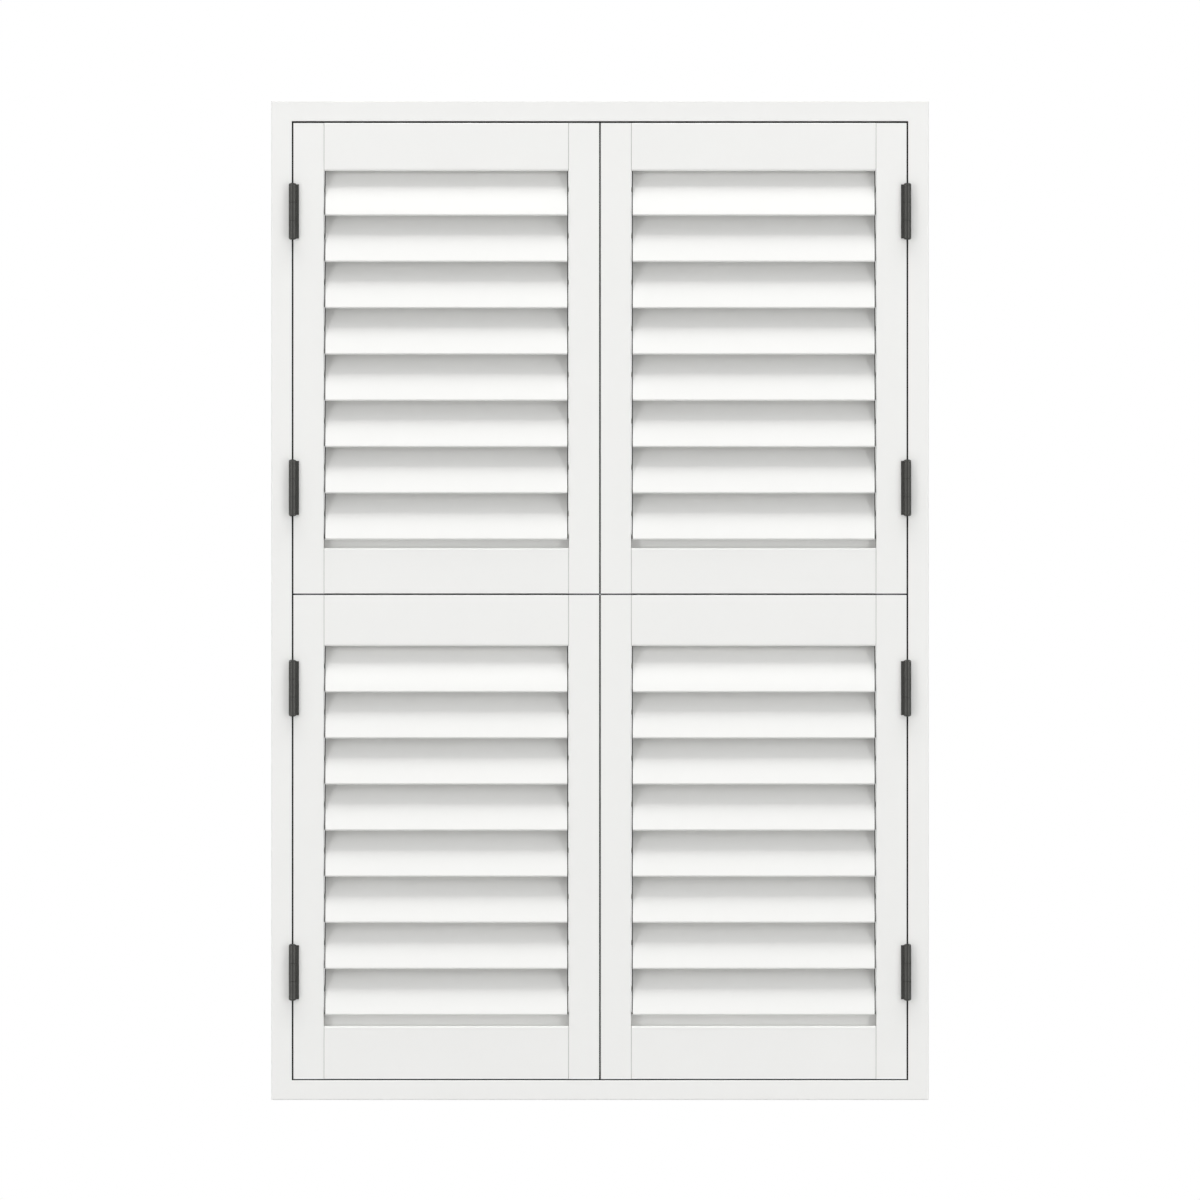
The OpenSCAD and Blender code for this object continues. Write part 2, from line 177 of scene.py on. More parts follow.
# Painted shade: full grey in a joint's core, fading to none at its edge.
joint_shade = add_node(tree, "ShaderNodeMapRange",
                {"From Min": SHADE_CORE, "From Max": SHADE_EDGE, "To Min": 1.0, "To Max": 0.0},
                {"Value": nearest.outputs["Value"]})
paint_colour = shader.inputs["Base Color"].links[0].from_socket
shaded = add_node(tree, "ShaderNodeMixRGB", {"Color2": linear(JOINT_SHADE_GREY)},
                 {"Fac": joint_shade.outputs["Result"], "Color1": paint_colour})
tree.links.new(shaded.outputs["Color"], shader.inputs["Base Color"])
print("lines of dusty joints on each side:", len(nearness))

# %% [markdown]
# ## Dark hinge metal
# The hinges are steel with a dark bronze-grey satin plating. Against the white they look almost black, with
# two soft upright highlights on each barrel. A dark paint would give a pale gloss instead, so this is a metal
# shader, whose dark colour tints what it reflects. A fine grit from the plating bath breaks the highlights.

# %% Dark hinge metal
PLATING_DARK, PLATING_LIGHT = "40403e", "4a4a48"
PLATING_ROUGHNESS = (0.20, 0.30)
GRIT_MM = 0.9  # real plating grit is far finer, and is drawn this coarse so that it shows
GRIT_HEIGHT = 0.03 * MM
GRIT_STRENGTH = 0.15
finish, tree, shader, place = new_finish("dark bronze-grey satin plating")
grit = add_node(tree, "ShaderNodeTexNoise", {"Scale": 1 / (GRIT_MM * MM), "Detail": 2.0}, {"Vector": place})
tone = add_node(tree, "ShaderNodeValToRGB", links={"Fac": grit.outputs["Fac"]})
tone.color_ramp.elements[0].color = linear(PLATING_DARK)
tone.color_ramp.elements[1].color = linear(PLATING_LIGHT)
satin = add_node(tree, "ShaderNodeMapRange", {"To Min": PLATING_ROUGHNESS[0], "To Max": PLATING_ROUGHNESS[1]},
                 {"Value": grit.outputs["Fac"]})
bump = add_node(tree, "ShaderNodeBump", {"Strength": GRIT_STRENGTH, "Distance": GRIT_HEIGHT},
                {"Height": grit.outputs["Fac"]})
shader.inputs["Metallic"].default_value = 1.0
tree.links.new(tone.outputs["Color"], shader.inputs["Base Color"])
tree.links.new(satin.outputs["Result"], shader.inputs["Roughness"])
tree.links.new(bump.outputs["Normal"], shader.inputs["Normal"])
finishes["dark_hinge_metal"] = finish
print("hinge finish:", finish.name)

# %% [markdown]
# ## Mill aluminium
# The tilt bars are aluminium strip, used as it leaves the mill. The die leaves fine lines along its length,
# which the eye gets as a streaky gloss. They could be a bump, but they are too shallow to feel, so a noise that
# is stretched a hundred times along the bar changes only the roughness.

# %% Mill aluminium
ALUMINIUM = "c9cbcd"
ALUMINIUM_ROUGHNESS = (0.26, 0.42)
DIE_LINE_MM = 0.5  # real die lines are finer, and are drawn this coarse so that they show
ALONG_BAR = (1.0, 1.0, 0.01)
finish, tree, shader, place = new_finish("mill aluminium strip")
drawn = add_node(tree, "ShaderNodeMapping", {"Scale": ALONG_BAR}, {"Vector": place})
lines = add_node(tree, "ShaderNodeTexNoise", {"Scale": 1 / (DIE_LINE_MM * MM), "Detail": 3.0},
                 {"Vector": drawn.outputs["Vector"]})
gloss = add_node(tree, "ShaderNodeMapRange",
                 {"To Min": ALUMINIUM_ROUGHNESS[0], "To Max": ALUMINIUM_ROUGHNESS[1]},
                 {"Value": lines.outputs["Fac"]})
shader.inputs["Base Color"].default_value = linear(ALUMINIUM)
shader.inputs["Metallic"].default_value = 1.0
tree.links.new(gloss.outputs["Result"], shader.inputs["Roughness"])
finishes["tilt_bar_alloy"] = finish
print("tilt bar finish:", finish.name)

# %% [markdown]
# ## Nickel plated steel
# The catch magnets and the discs that they hold are nickel plated and tumbled smooth. The eye gets a cool,
# slightly uneven shine. The colour of nickel is even, so a noise in the roughness is enough.

# %% Nickel plated steel
NICKEL = "b9bbbe"
NICKEL_ROUGHNESS = (0.18, 0.30)
TUMBLED_MM = 1.2
finish, tree, shader, place = new_finish("nickel plated steel")
tumbled = add_node(tree, "ShaderNodeTexNoise", {"Scale": 1 / (TUMBLED_MM * MM), "Detail": 3.0},
                   {"Vector": place})
gloss = add_node(tree, "ShaderNodeMapRange", {"To Min": NICKEL_ROUGHNESS[0], "To Max": NICKEL_ROUGHNESS[1]},
                 {"Value": tumbled.outputs["Fac"]})
shader.inputs["Base Color"].default_value = linear(NICKEL)
shader.inputs["Metallic"].default_value = 1.0
tree.links.new(gloss.outputs["Result"], shader.inputs["Roughness"])
finishes["magnet_steel"] = finish
print("magnet finish:", finish.name)

# %% [markdown]
# ## Black pile
# The seals are a dense woven pile of black polypropylene, and felt looks much the same from a step away. The
# eye gets almost no light back from it, only a hint of tufts. Thousands of hairs could be modelled, but in a
# gap of two millimetres a cell pattern does as well: each cell is one tuft, raised in its middle.

# %% Black pile
TUFT_TOP, TUFT_ROOT = "141414", "070707"
TUFT_MM = 0.7
TUFT_HEIGHT = 0.2 * MM
TUFT_STRENGTH = 0.6
# Where this black fills gaps between pieces, on seals, washers and felt pads, it is partly painted shade for
# those gaps.
finish, tree, shader, place = new_finish("dense black pile")
tufts = add_node(tree, "ShaderNodeTexVoronoi", {"Scale": 1 / (TUFT_MM * MM)}, {"Vector": place})
tone = add_node(tree, "ShaderNodeValToRGB", links={"Fac": tufts.outputs["Distance"]})
tone.color_ramp.elements[0].color = linear(TUFT_TOP)
tone.color_ramp.elements[1].color = linear(TUFT_ROOT)
bump = add_node(tree, "ShaderNodeBump", {"Strength": TUFT_STRENGTH, "Distance": TUFT_HEIGHT, "invert": True},
                {"Height": tufts.outputs["Distance"]})
shader.inputs["Roughness"].default_value = 0.95
shader.inputs["Specular IOR Level"].default_value = 0.1
shader.inputs["Sheen Weight"].default_value = 0.05
tree.links.new(tone.outputs["Color"], shader.inputs["Base Color"])
tree.links.new(bump.outputs["Normal"], shader.inputs["Normal"])
finishes["pile_seal"] = finish
print("finishes:", sorted(finishes))

# %% [markdown]
# ## Painting the imported pieces
# The imported model's record says which finish each of its pieces wears. The pieces could be painted one by
# one, but a loop over the record misses none. Only what fills the material slots changes, and the meshes stay
# as they are. Stiles and rails get the paint with the painted shade in their joints.

# %% Give every node its finish
PANEL_JOINERY = ("_stile", "_rails")
for subpart in frame["record"]["subparts"]:
    on_panel = subpart["node"].endswith(PANEL_JOINERY)
    for material_slot in frame["nodes"][subpart["node"]].material_slots:
        material_slot.material = panel_paint if on_panel else finishes[subpart["material_slot"]]

# %% [markdown]
# ## Helpers for new pieces
# The trim below is modelled as by hand, with operators that act on whatever is selected. So the first helper
# selects some pieces and nothing else, and the second selects the faces that look in one direction. The third
# moves a piece's place into its mesh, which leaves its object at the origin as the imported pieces' objects are.
# The last one gives a piece its finish and the body that it moves with.

# %% Helpers for new pieces
SAME_WAY = 0.99  # a face looks along a direction when the cosine between them is larger than this


def choose(*pieces):
    """Selects these pieces and nothing else, and makes the first one active."""
    bpy.ops.object.select_all(action="DESELECT")
    for piece in pieces:
        piece.select_set(True)
    if pieces:
        bpy.context.view_layer.objects.active = pieces[0]


def select_faces(piece, towards):
    """Enters edit mode with only the faces selected that look in one direction."""
    bpy.ops.object.mode_set(mode="EDIT")
    bpy.ops.mesh.select_mode(type="FACE")
    bpy.ops.mesh.select_all(action="DESELECT")
    bpy.ops.object.mode_set(mode="OBJECT")
    for face in piece.data.polygons:
        face.select = face.normal.dot(towards) > SAME_WAY
    bpy.ops.object.mode_set(mode="EDIT")


def settle():
    """Moves the selected piece's place, turn and scale into its mesh."""
    bpy.ops.object.transform_apply(location=True, rotation=True, scale=True)


def dress(piece, body, slot):
    """Gives a finished piece its finish and lets it ride on a body."""
    piece.data.materials.clear()
    piece.data.materials.append(finishes[slot])
    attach(piece, body)


# %% [markdown]
# ## Pile seals in the gaps
# A joiner sticks thin strips of black pile into the running gaps. Here they sit just behind the faces, so that
# their black also stands in for the deep shade in each gap, as painted shade, and each gap reads as one fine
# dark line. A strip could be a plain box, but the real one is a woven backing with a narrower brush on it, so
# a thin slab is inset, extruded and rounded along its top.

# %% One pile strip
BACKING = 0.3 * MM
BACKING_MARGIN = 0.25 * MM
BRUSH_ROUND = 0.2 * MM
ROUND_STEPS = 2


def pile_strip(name, body, low, high, stand):
    """A strip that fills the box from low to high, its brush standing along stand."""
    low, high, stand = Vector(low), Vector(high), Vector(stand)
    rise = abs((high - low).dot(stand))
    foot = (low + high) / 2 - stand * (rise - BACKING) / 2
    size = high - low - (rise - BACKING) * Vector([abs(s) for s in stand])
    choose()
    bpy.ops.mesh.primitive_cube_add(size=1, location=foot, scale=size)
    strip = bpy.context.active_object
    strip.name = name
    settle()
    select_faces(strip, stand)
    bpy.ops.mesh.inset(thickness=BACKING_MARGIN)
    bpy.ops.mesh.extrude_region_move(TRANSFORM_OT_translate={"value": stand * (rise - BACKING)})
    bpy.ops.mesh.bevel(offset=BRUSH_ROUND, segments=ROUND_STEPS)
    bpy.ops.object.mode_set(mode="OBJECT")
    dress(strip, body, "pile_seal")


print("pile backing in mm:", round(BACKING / MM, 2))

# %% [markdown]
# ## Strips round the frame's rebate
# The head, the sill and both jambs carry strips, and those on the jambs stop short of the hinges. Their places
# could be typed in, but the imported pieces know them: the dark seals on the stops reach from wall to wall of
# the rebate, so their box gives its walls, and the stiles' boxes give the panels' edges. The brushes stay half
# a millimetre clear of the panels. The sill's strip lies deeper, because its gap is a softer line in the photo.

# %% Strips round the frame's rebate
TIERS = ("lower", "upper")
SET_BACK = 0.4 * MM
SILL_SET_BACK = 4.0 * MM
STRIP_DEPTH = 5.0 * MM
BRUSH_CLEARANCE = 0.5 * MM
HINGE_PLATE_H = 86.4 * MM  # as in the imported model
rebate_low, rebate_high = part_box("frame_seals")
face_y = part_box("upper_left_hinge_stile")[0].y
panel_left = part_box("upper_left_hinge_stile")[0].x
panel_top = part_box("upper_left_hinge_stile")[1].z
panel_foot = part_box("lower_left_hinge_stile")[0].z
strip_y = (face_y + SET_BACK, face_y + SET_BACK + STRIP_DEPTH)
sill_y = (face_y + SILL_SET_BACK, face_y + SILL_SET_BACK + STRIP_DEPTH)
# The black of these strips, just behind the faces, is partly painted shade for the gaps round the panels.
pile_strip("head_seal", "frame", (rebate_low.x, strip_y[0], panel_top + BRUSH_CLEARANCE),
           (rebate_high.x, strip_y[1], rebate_high.z), (0, 0, -1))
pile_strip("sill_seal", "frame", (rebate_low.x, sill_y[0], rebate_low.z),
           (rebate_high.x, sill_y[1], panel_foot - BRUSH_CLEARANCE), (0, 0, 1))
breaks = [rebate_low.z]
for tier in TIERS:
    low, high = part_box(f"{tier}_left_hinge_leaves")
    breaks += [low.z, low.z + HINGE_PLATE_H, high.z - HINGE_PLATE_H, high.z]
breaks.append(rebate_high.z)
brush_x = panel_left - BRUSH_CLEARANCE
for part, (foot, top) in enumerate(zip(breaks[::2], breaks[1::2]), start=1):
    pile_strip(f"left_jamb_seal_{part}", "frame", (rebate_low.x, strip_y[0], foot),
               (brush_x, strip_y[1], top), (1, 0, 0))
    pile_strip(f"right_jamb_seal_{part}", "frame", (-brush_x, strip_y[0], foot),
               (rebate_high.x, strip_y[1], top), (-1, 0, 0))
print("rebate seals:", 2 + len(breaks))

# %% [markdown]
# ## Strips where panels meet
# Between two panels each carries its own strip, since either may swing alone. In one plane the brushes would
# scrape past each other, so one lies behind the other, and each fills half of the gap. The front one is
# bedded a little into its stile or rail, so that its black also lies over the rounded mouth of the gap, as
# painted shade there.

# %% Strips where panels meet
SIDES = ("left", "right")
PAIR_DEPTH = 3.0 * MM
PAIR_STEP = 4.0 * MM
PAIR_CLEARANCE = 0.1 * MM
# How far the front strips reach over the rounded mouth of a gap, where their black is painted shade.
MOUTH = 0.25 * MM
front_y = (face_y + SET_BACK, face_y + SET_BACK + PAIR_DEPTH)
rear_y = (front_y[0] + PAIR_STEP, front_y[1] + PAIR_STEP)
lower_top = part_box("lower_left_meeting_stile")[1].z
upper_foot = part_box("upper_left_meeting_stile")[0].z
tier_middle = (lower_top + upper_foot) / 2
for side in SIDES:
    left = min(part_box(f"lower_{side}_{stile}_stile")[0].x for stile in ("hinge", "meeting"))
    right = max(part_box(f"lower_{side}_{stile}_stile")[1].x for stile in ("hinge", "meeting"))
    pile_strip(f"lower_{side}_tier_seal", f"lower_{side}_panel", (left, front_y[0], lower_top - MOUTH),
               (right, front_y[1], tier_middle - PAIR_CLEARANCE / 2), (0, 0, 1))
    pile_strip(f"upper_{side}_tier_seal", f"upper_{side}_panel",
               (left, rear_y[0], tier_middle + PAIR_CLEARANCE / 2), (right, rear_y[1], upper_foot), (0, 0, -1))
meeting_ends = {
    "lower": (panel_foot, tier_middle - PAIR_CLEARANCE / 2),
    "upper": (tier_middle + PAIR_CLEARANCE / 2, panel_top),
}
for tier, (foot, top) in meeting_ends.items():
    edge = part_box(f"{tier}_left_meeting_stile")[1].x
    pile_strip(f"{tier}_left_meeting_seal", f"{tier}_left_panel", (edge - MOUTH, front_y[0], foot),
               (-PAIR_CLEARANCE / 2, front_y[1], top), (1, 0, 0))
    pile_strip(f"{tier}_right_meeting_seal", f"{tier}_right_panel", (PAIR_CLEARANCE / 2, rear_y[0], foot),
               (-edge, rear_y[1], top), (-1, 0, 0))
print("meeting seals:", 2 * len(SIDES) + 2 * len(TIERS))

# %% [markdown]
# ## Hinge screws
# Each hinge leaf is held by three countersunk screws, which show when a panel stands open. The heads sit
# almost flush, because the two leaves close with less than half a millimetre between them. One head is
# modelled as a short bevelled cylinder with a cross cut out of it. Cutting with a boolean keeps the cross
# crisp, and a bump map couldn't give it real edges.

# %% One screw head
HEAD_D = 6.6 * MM
HEAD_T = 0.6 * MM
HEAD_ROUND = 0.08 * MM
HEAD_FACETS = 32
PROUD = 0.15 * MM
CROSS_L = 3.4 * MM
CROSS_W = 0.8 * MM
CROSS_DEPTH = 0.13 * MM
QUARTER_TURN = math.pi / 2


def cut(piece, cutter):
    """Cuts one object out of another for good, and deletes the cutter."""
    choose(piece)
    bpy.ops.object.modifier_add(type="BOOLEAN")
    modifier = piece.modifiers[-1]
    modifier.operation = "DIFFERENCE"
    modifier.object = cutter
    bpy.ops.object.modifier_apply(modifier=modifier.name)
    bpy.data.objects.remove(cutter)


choose()
bpy.ops.mesh.primitive_cylinder_add(vertices=HEAD_FACETS, radius=HEAD_D / 2, depth=HEAD_T,
                                    rotation=(0, QUARTER_TURN, 0), location=(PROUD - HEAD_T / 2, 0, 0))
screw_head = bpy.context.active_object
settle()
select_faces(screw_head, Vector((1, 0, 0)))
bpy.ops.mesh.bevel(offset=HEAD_ROUND, segments=ROUND_STEPS)
bpy.ops.object.mode_set(mode="OBJECT")
for arm in ((CROSS_L, CROSS_W), (CROSS_W, CROSS_L)):
    choose()
    bpy.ops.mesh.primitive_cube_add(size=1, location=(PROUD, 0, 0), scale=(2 * CROSS_DEPTH, *arm))
    cut(screw_head, bpy.context.active_object)
print("screw head:", len(screw_head.data.polygons), "faces")

# %% [markdown]
# ## Screws in every leaf
# The one head is now copied to every hole. Linked copies would be lighter, but each copy gets its own mesh, so
# that its place can go into it. The screws of one panel are then joined into one object, because they move
# together, and the frame's own screws stay with the frame.

# %% Screws in every leaf
LEAF_T = 1.0 * MM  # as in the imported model
SCREW_PLACES = ((-28.0 * MM, 8.0 * MM), (0.0, 15.0 * MM), (28.0 * MM, 8.0 * MM))
hinge_heights = {}
for tier in TIERS:
    low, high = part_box(f"{tier}_left_hinge_leaves")
    hinge_heights[tier] = (low.z + HINGE_PLATE_H / 2, high.z - HINGE_PLATE_H / 2)


def copy_to(piece, place, turned=False):
    """A copy with its own mesh, moved to a place and turned half round where asked."""
    choose(piece)
    bpy.ops.object.duplicate()
    copy = bpy.context.active_object
    copy.location = place
    copy.rotation_euler = (0, 0, math.pi if turned else 0)
    settle()
    return copy


def join(name, pieces, body, slot):
    """Joins pieces into one named object that rides on a body."""
    choose(*pieces)
    bpy.ops.object.join()
    pieces[0].name = name
    dress(pieces[0], body, slot)


frame_screws = []
for side in SIDES:
    outward = -1 if side == "left" else 1
    frame_leaf_x = outward * (rebate_high.x - LEAF_T)
    panel_leaf_x = -outward * (panel_left - LEAF_T)
    for tier in TIERS:
        panel_screws = []
        for height in hinge_heights[tier]:
            for rise, depth in SCREW_PLACES:
                y, z = face_y + depth, height + rise
                frame_screws.append(copy_to(screw_head, (frame_leaf_x, y, z), outward > 0))
                panel_screws.append(copy_to(screw_head, (panel_leaf_x, y, z), outward < 0))
        join(f"{tier}_{side}_hinge_screws", panel_screws, f"{tier}_{side}_panel", "dark_hinge_metal")
join("frame_hinge_screws", frame_screws, "frame", "dark_hinge_metal")
bpy.data.objects.remove(screw_head)
print("hinge screws:", 2 * len(frame_screws))

# %% [markdown]
# ## Hinge washers
# Each hinge has three knuckles, and a thin black felt washer between them keeps metal off metal. From the
# front the washers are two short dark lines across the barrel, their black partly painted shade for the
# splits between the knuckles. A torus would be too round for them, so a flat cylinder gets its rim bevelled
# and a hole cut for the hinge pin.

# %% Washers between the knuckles
WASHER_D = 11.9 * MM
WASHER_T = 0.42 * MM
WASHER_ROUND = 0.05 * MM
WASHER_FACETS = 48
WASHER_HOLE_D = 7.0 * MM
HOLE_FACETS = 32
KNUCKLE_H = HINGE_PLATE_H / 3
pivots = {joint["name"]: joint["pos_m"] for joint in frame["record"]["behaviour"]["joints"]}
choose()
bpy.ops.mesh.primitive_cylinder_add(vertices=WASHER_FACETS, radius=WASHER_D / 2, depth=WASHER_T)
washer = bpy.context.active_object
for end in (-1, 1):
    select_faces(washer, Vector((0, 0, end)))
    bpy.ops.mesh.bevel(offset=WASHER_ROUND, segments=ROUND_STEPS)
    bpy.ops.object.mode_set(mode="OBJECT")
choose()
bpy.ops.mesh.primitive_cylinder_add(vertices=HOLE_FACETS, radius=WASHER_HOLE_D / 2, depth=2 * WASHER_T)
cut(washer, bpy.context.active_object)
washer_count = 0
for tier in TIERS:
    for side in SIDES:
        x, y, _ = pivots[f"{tier}_{side}_swing"]
        washers = [copy_to(washer, (x, y, height + step * KNUCKLE_H / 2))
                   for height in hinge_heights[tier] for step in (-1, 1)]
        # The washers' black is partly painted shade for the splits between the knuckles.
        join(f"{tier}_{side}_hinge_washers", washers, "frame", "pile_seal")
        washer_count += len(washers)
bpy.data.objects.remove(washer)
print("hinge washers:", washer_count)

# %% [markdown]
# ## Felt pads on the louvres' ends
# A louvre would rattle and let light past its ends, so each end carries a thin black felt pad that turns
# with it and almost touches the stile. From the front the pads are the fine dark line beside every louvre,
# their black partly painted shade for that narrow gap.
# A pad follows the louvre's lens shape, which a stretched cylinder comes close enough to, with its rim
# softened and a hole for the louvre's pin.

# %% One felt pad
PAD_W = 86.0 * MM
PAD_THICK = 10.0 * MM
PAD_T = 1.5 * MM
PAD_ROUND = 0.2 * MM
PAD_FACETS = 64
PIN_HOLE_D = 8.3 * MM
TILT = math.radians(20)  # the louvres' tilt at rest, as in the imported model
choose()
bpy.ops.mesh.primitive_cylinder_add(vertices=PAD_FACETS, radius=0.5, depth=1, rotation=(0, QUARTER_TURN, 0))
felt_pad = bpy.context.active_object
settle()
bpy.ops.transform.resize(value=(PAD_T, PAD_THICK, PAD_W))
settle()
felt_pad.rotation_euler = (-TILT, 0, 0)
settle()
for end in (-1, 1):
    select_faces(felt_pad, Vector((end, 0, 0)))
    bpy.ops.mesh.bevel(offset=PAD_ROUND, segments=ROUND_STEPS)
    bpy.ops.object.mode_set(mode="OBJECT")
choose()
bpy.ops.mesh.primitive_cylinder_add(vertices=HOLE_FACETS, radius=PIN_HOLE_D / 2, depth=2 * PAD_T,
                                    rotation=(0, QUARTER_TURN, 0))
cut(felt_pad, bpy.context.active_object)
print("felt pad:", len(felt_pad.data.polygons), "faces")

# %% [markdown]
# ## Pads on every louvre
# Every louvre gets one pad at each end, pressed a hair's breadth into its end so that no light shows between.
# The louvre's own pivot, which the record gives, says how high and how deep the pads sit, and the stiles' boxes
# say how far out. The two pads of a louvre are one object that turns with it.

# %% Pads on every louvre
END_GAP = 2.2 * MM  # between a louvre's end and a stile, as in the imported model
PAD_BED = 0.05 * MM
LOUVRES = 8
pad_reach = END_GAP + PAD_BED - PAD_T / 2
for tier in TIERS:
    for side in SIDES:
        stiles = [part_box(f"{tier}_{side}_{stile}_stile") for stile in ("hinge", "meeting")]
        stiles.sort(key=lambda box: box[0].x)
        ends = (stiles[0][1].x + pad_reach, stiles[1][0].x - pad_reach)
        for number in range(1, LOUVRES + 1):
            _, y, z = pivots[f"{tier}_{side}_tilt_{number}"]
            pads = [copy_to(felt_pad, (x, y, z)) for x in ends]
            # The pads' black is partly painted shade for the gap beside each louvre.
            join(f"{tier}_{side}_end_pads_{number}", pads, f"{tier}_{side}_louvre_{number}", "pile_seal")
bpy.data.objects.remove(felt_pad)
print("louvres with felt pads:", len(TIERS) * len(SIDES) * LOUVRES)

# %% [markdown]
# ## Strike discs
# A magnet needs steel to hold, so a small plated disc is let into each panel's back where it meets its
# magnet. A plain cylinder would look like a plug, so it gets a softened rim, and a dished middle for the pin
# that holds it.

# %% Strike discs on the panels' backs
MAGNET_D = 7.0 * MM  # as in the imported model
DISC_D = 10.0 * MM
DISC_T = 1.0 * MM
DISC_ROUND = 0.1 * MM
DISC_FACETS = 48
DISH_MARGIN = 3.2 * MM
DISH_DEPTH = 0.12 * MM
BACK = Vector((0, 1, 0))
magnet_low, magnet_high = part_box("catch_magnets")
disc_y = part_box("upper_left_meeting_stile")[1].y + PROUD - DISC_T / 2
strike_x = {"left": -(magnet_high.x - MAGNET_D / 2), "right": magnet_high.x - MAGNET_D / 2}
strike_z = {"lower": magnet_low.z + MAGNET_D / 2, "upper": magnet_high.z - MAGNET_D / 2}
for tier in TIERS:
    for side in SIDES:
        choose()
        bpy.ops.mesh.primitive_cylinder_add(vertices=DISC_FACETS, radius=DISC_D / 2, depth=DISC_T,
                                            rotation=(-QUARTER_TURN, 0, 0),
                                            location=(strike_x[side], disc_y, strike_z[tier]))
        disc = bpy.context.active_object
        disc.name = f"{tier}_{side}_strike_disc"
        settle()
        select_faces(disc, BACK)
        bpy.ops.mesh.inset(thickness=DISH_MARGIN)
        bpy.ops.transform.translate(value=-BACK * DISH_DEPTH)
        bpy.ops.object.mode_set(mode="OBJECT")
        rim = disc.modifiers.new("rim", "BEVEL")
        rim.width = DISC_ROUND
        rim.segments = ROUND_STEPS
        rim.limit_method = "ANGLE"
        bpy.ops.object.modifier_apply(modifier=rim.name)
        dress(disc, f"{tier}_{side}_panel", "magnet_steel")
print("strike discs:", len(TIERS) * len(SIDES))

# %% [markdown]
# ## Studio floor
# The photograph is a plain product shot, straight on and white all round. The shutters hang at window height,
# so the floor lies well below them. Lamps strong enough to make the paper white would burn out the paint. So
# the paper is grey and glows a little, but only for the rays that show the background.

# %% Floor
FLOOR_Z = -0.9
FLOOR_SIZE = 8.0
FLOOR_LIFT = 0.58
FLOOR_GREY = "b6b6b6"
FLOOR_ROUGHNESS = 0.9
WHITE = (1, 1, 1, 1)


def background_rays(tree):
    """1 for the rays that show the background: camera, glossy and transmission rays."""
    path = add_node(tree, "ShaderNodeLightPath").outputs
    seen = add_node(tree, "ShaderNodeMath", {"operation": "MAXIMUM"},
                    {0: path["Is Camera Ray"], 1: path["Is Glossy Ray"]})
    shown = add_node(tree, "ShaderNodeMath", {"operation": "MAXIMUM"},
                     {0: seen.outputs["Value"], 1: path["Is Transmission Ray"]})
    return shown.outputs["Value"]


choose()
bpy.ops.mesh.primitive_plane_add(size=FLOOR_SIZE, location=(0, 0, FLOOR_Z))
floor = bpy.context.active_object
floor.name = "studio_floor"
finish, tree, shader, _ = new_finish("white studio paper")
shader.inputs["Base Color"].default_value = linear(FLOOR_GREY)
shader.inputs["Roughness"].default_value = FLOOR_ROUGHNESS
shader.inputs["Emission Color"].default_value = WHITE
lift = add_node(tree, "ShaderNodeMapRange", {"To Min": 0.0, "To Max": FLOOR_LIFT},
                {"Value": background_rays(tree)})
tree.links.new(lift.outputs["Result"], shader.inputs["Emission Strength"])
floor.data.materials.append(finish)
print("floor at", FLOOR_Z, "m")

# %% [markdown]
# ## Light from all round
# A white studio sends soft light from every side. An even world would do that, but from behind it would leak
# between the louvres and wash out the dark lines, so this one is bright in front and dim behind. What the
# camera and the reflections see of it is plain white.

# %% World
AMBIENT_FRONT = 0.45
AMBIENT_REAR = 0.04
FADE = 0.05
world = bpy.data.worlds.new("white studio")
world.use_nodes = True
bpy.context.scene.world = world
tree = world.node_tree
tree.nodes.clear()
direction = add_node(tree, "ShaderNodeTexCoord").outputs["Generated"]
towards = add_node(tree, "ShaderNodeSeparateXYZ", links={"Vector": direction})
ambient = add_node(tree, "ShaderNodeMapRange",
                   {"From Min": -FADE, "From Max": FADE, "To Min": AMBIENT_FRONT, "To Max": AMBIENT_REAR},
                   {"Value": towards.outputs["Y"]})
strength = add_node(tree, "ShaderNodeMath", {"operation": "MAXIMUM"},
                    {0: ambient.outputs["Result"], 1: background_rays(tree)})
sky = add_node(tree, "ShaderNodeBackground", {"Color": WHITE}, {"Strength": strength.outputs["Value"]})
add_node(tree, "ShaderNodeOutputWorld", links={"Surface": sky.outputs["Background"]})
print("ambient light:", AMBIENT_FRONT, "in front and", AMBIENT_REAR, "behind")

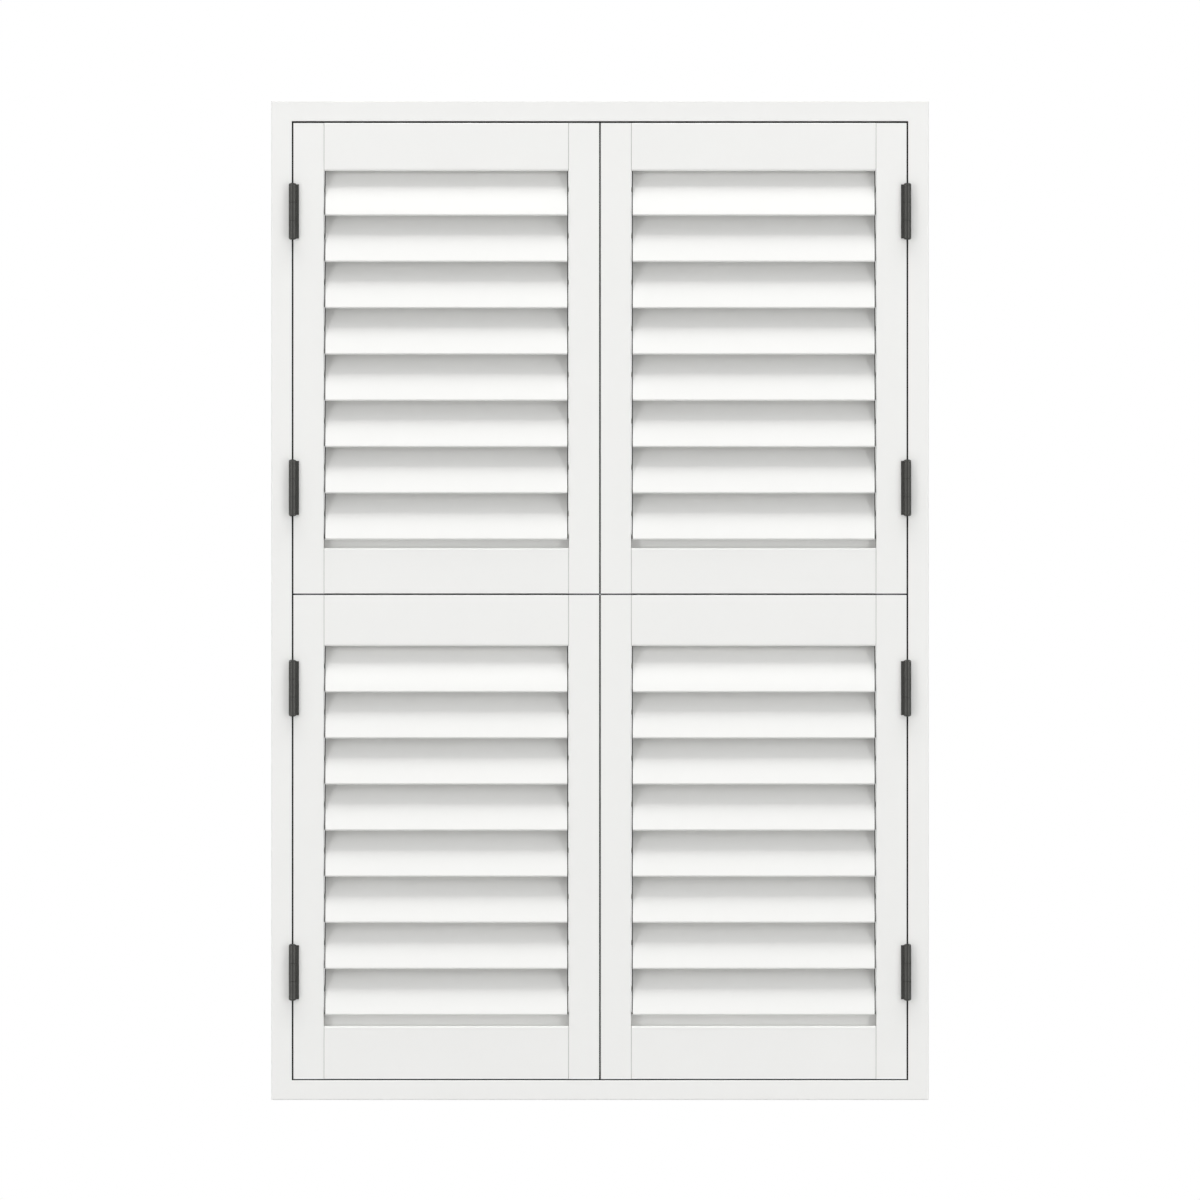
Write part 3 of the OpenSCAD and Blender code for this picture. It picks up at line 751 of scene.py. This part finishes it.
# %% [markdown]
# ## Softboxes
# One large soft light high above fills the tilted louvre faces, and leaves the tops of the louvres in the
# shade of the ones above, as in the photograph. A sun would do this too, but with hard edges. A weaker box
# lights the front, two strips draw the highlights on the hinge barrels, and a low one lifts the back.

# %% Softboxes
# Azimuth and elevation in degrees, then distance, width and height in metres, then watts.
LAMPS = {
    "overhead softbox": (0, 81, 11.0, 12.0, 4.5, 1610),
    "high front softbox": (0, 60, 11.0, 12.0, 4.0, 85),
    "left strip light": (-47, 2, 5.0, 1.0, 4.0, 45),
    "right strip light": (47, 2, 5.0, 1.0, 4.0, 45),
    "low rear softbox": (180, -12, 6.0, 4.0, 0.6, 85),
}
middle = Vector((0, 0, (cad_box[0].z + cad_box[1].z) / 2))


def on_dome(azimuth, elevation, distance):
    """A place round the shutters' middle: azimuth 0 is in front, 90 to the viewer's right."""
    turn, rise = math.radians(azimuth), math.radians(elevation)
    flat = distance * math.cos(rise)
    return middle + Vector((flat * math.sin(turn), -flat * math.cos(turn), distance * math.sin(rise)))


for name, (azimuth, elevation, distance, width, height, watts) in LAMPS.items():
    place = on_dome(azimuth, elevation, distance)
    bpy.ops.object.light_add(type="AREA", location=place)
    lamp = bpy.context.active_object
    lamp.name = name
    lamp.data.shape = "RECTANGLE"
    lamp.data.size = width
    lamp.data.size_y = height
    lamp.data.energy = watts
    lamp.rotation_euler = (middle - place).to_track_quat("-Z", "Y").to_euler()
print("lamps:", len(LAMPS))

# %% [markdown]
# ## Camera
# The photograph shows no perspective from top to bottom, as if taken from far off with a long lens. An
# orthographic camera would be the other way to get that, but a long lens is what a photographer has. One pixel
# of the photograph is 1.6 mm at the panels' faces, which gives the distance.

# %% Camera
PIXEL = 1.6 * MM
IMAGE_SIZE = 1200
LENS = 400
SENSOR = 36
camera_distance = IMAGE_SIZE * PIXEL * LENS / SENSOR
bpy.ops.object.camera_add(location=(0, face_y - camera_distance, middle.z), rotation=(QUARTER_TURN, 0, 0))
camera = bpy.context.active_object
camera.data.lens = LENS
camera.data.sensor_width = SENSOR
bpy.context.scene.camera = camera
bpy.context.scene.view_settings.view_transform = "Standard"
print("camera", round(camera_distance, 3), "m in front of the faces")
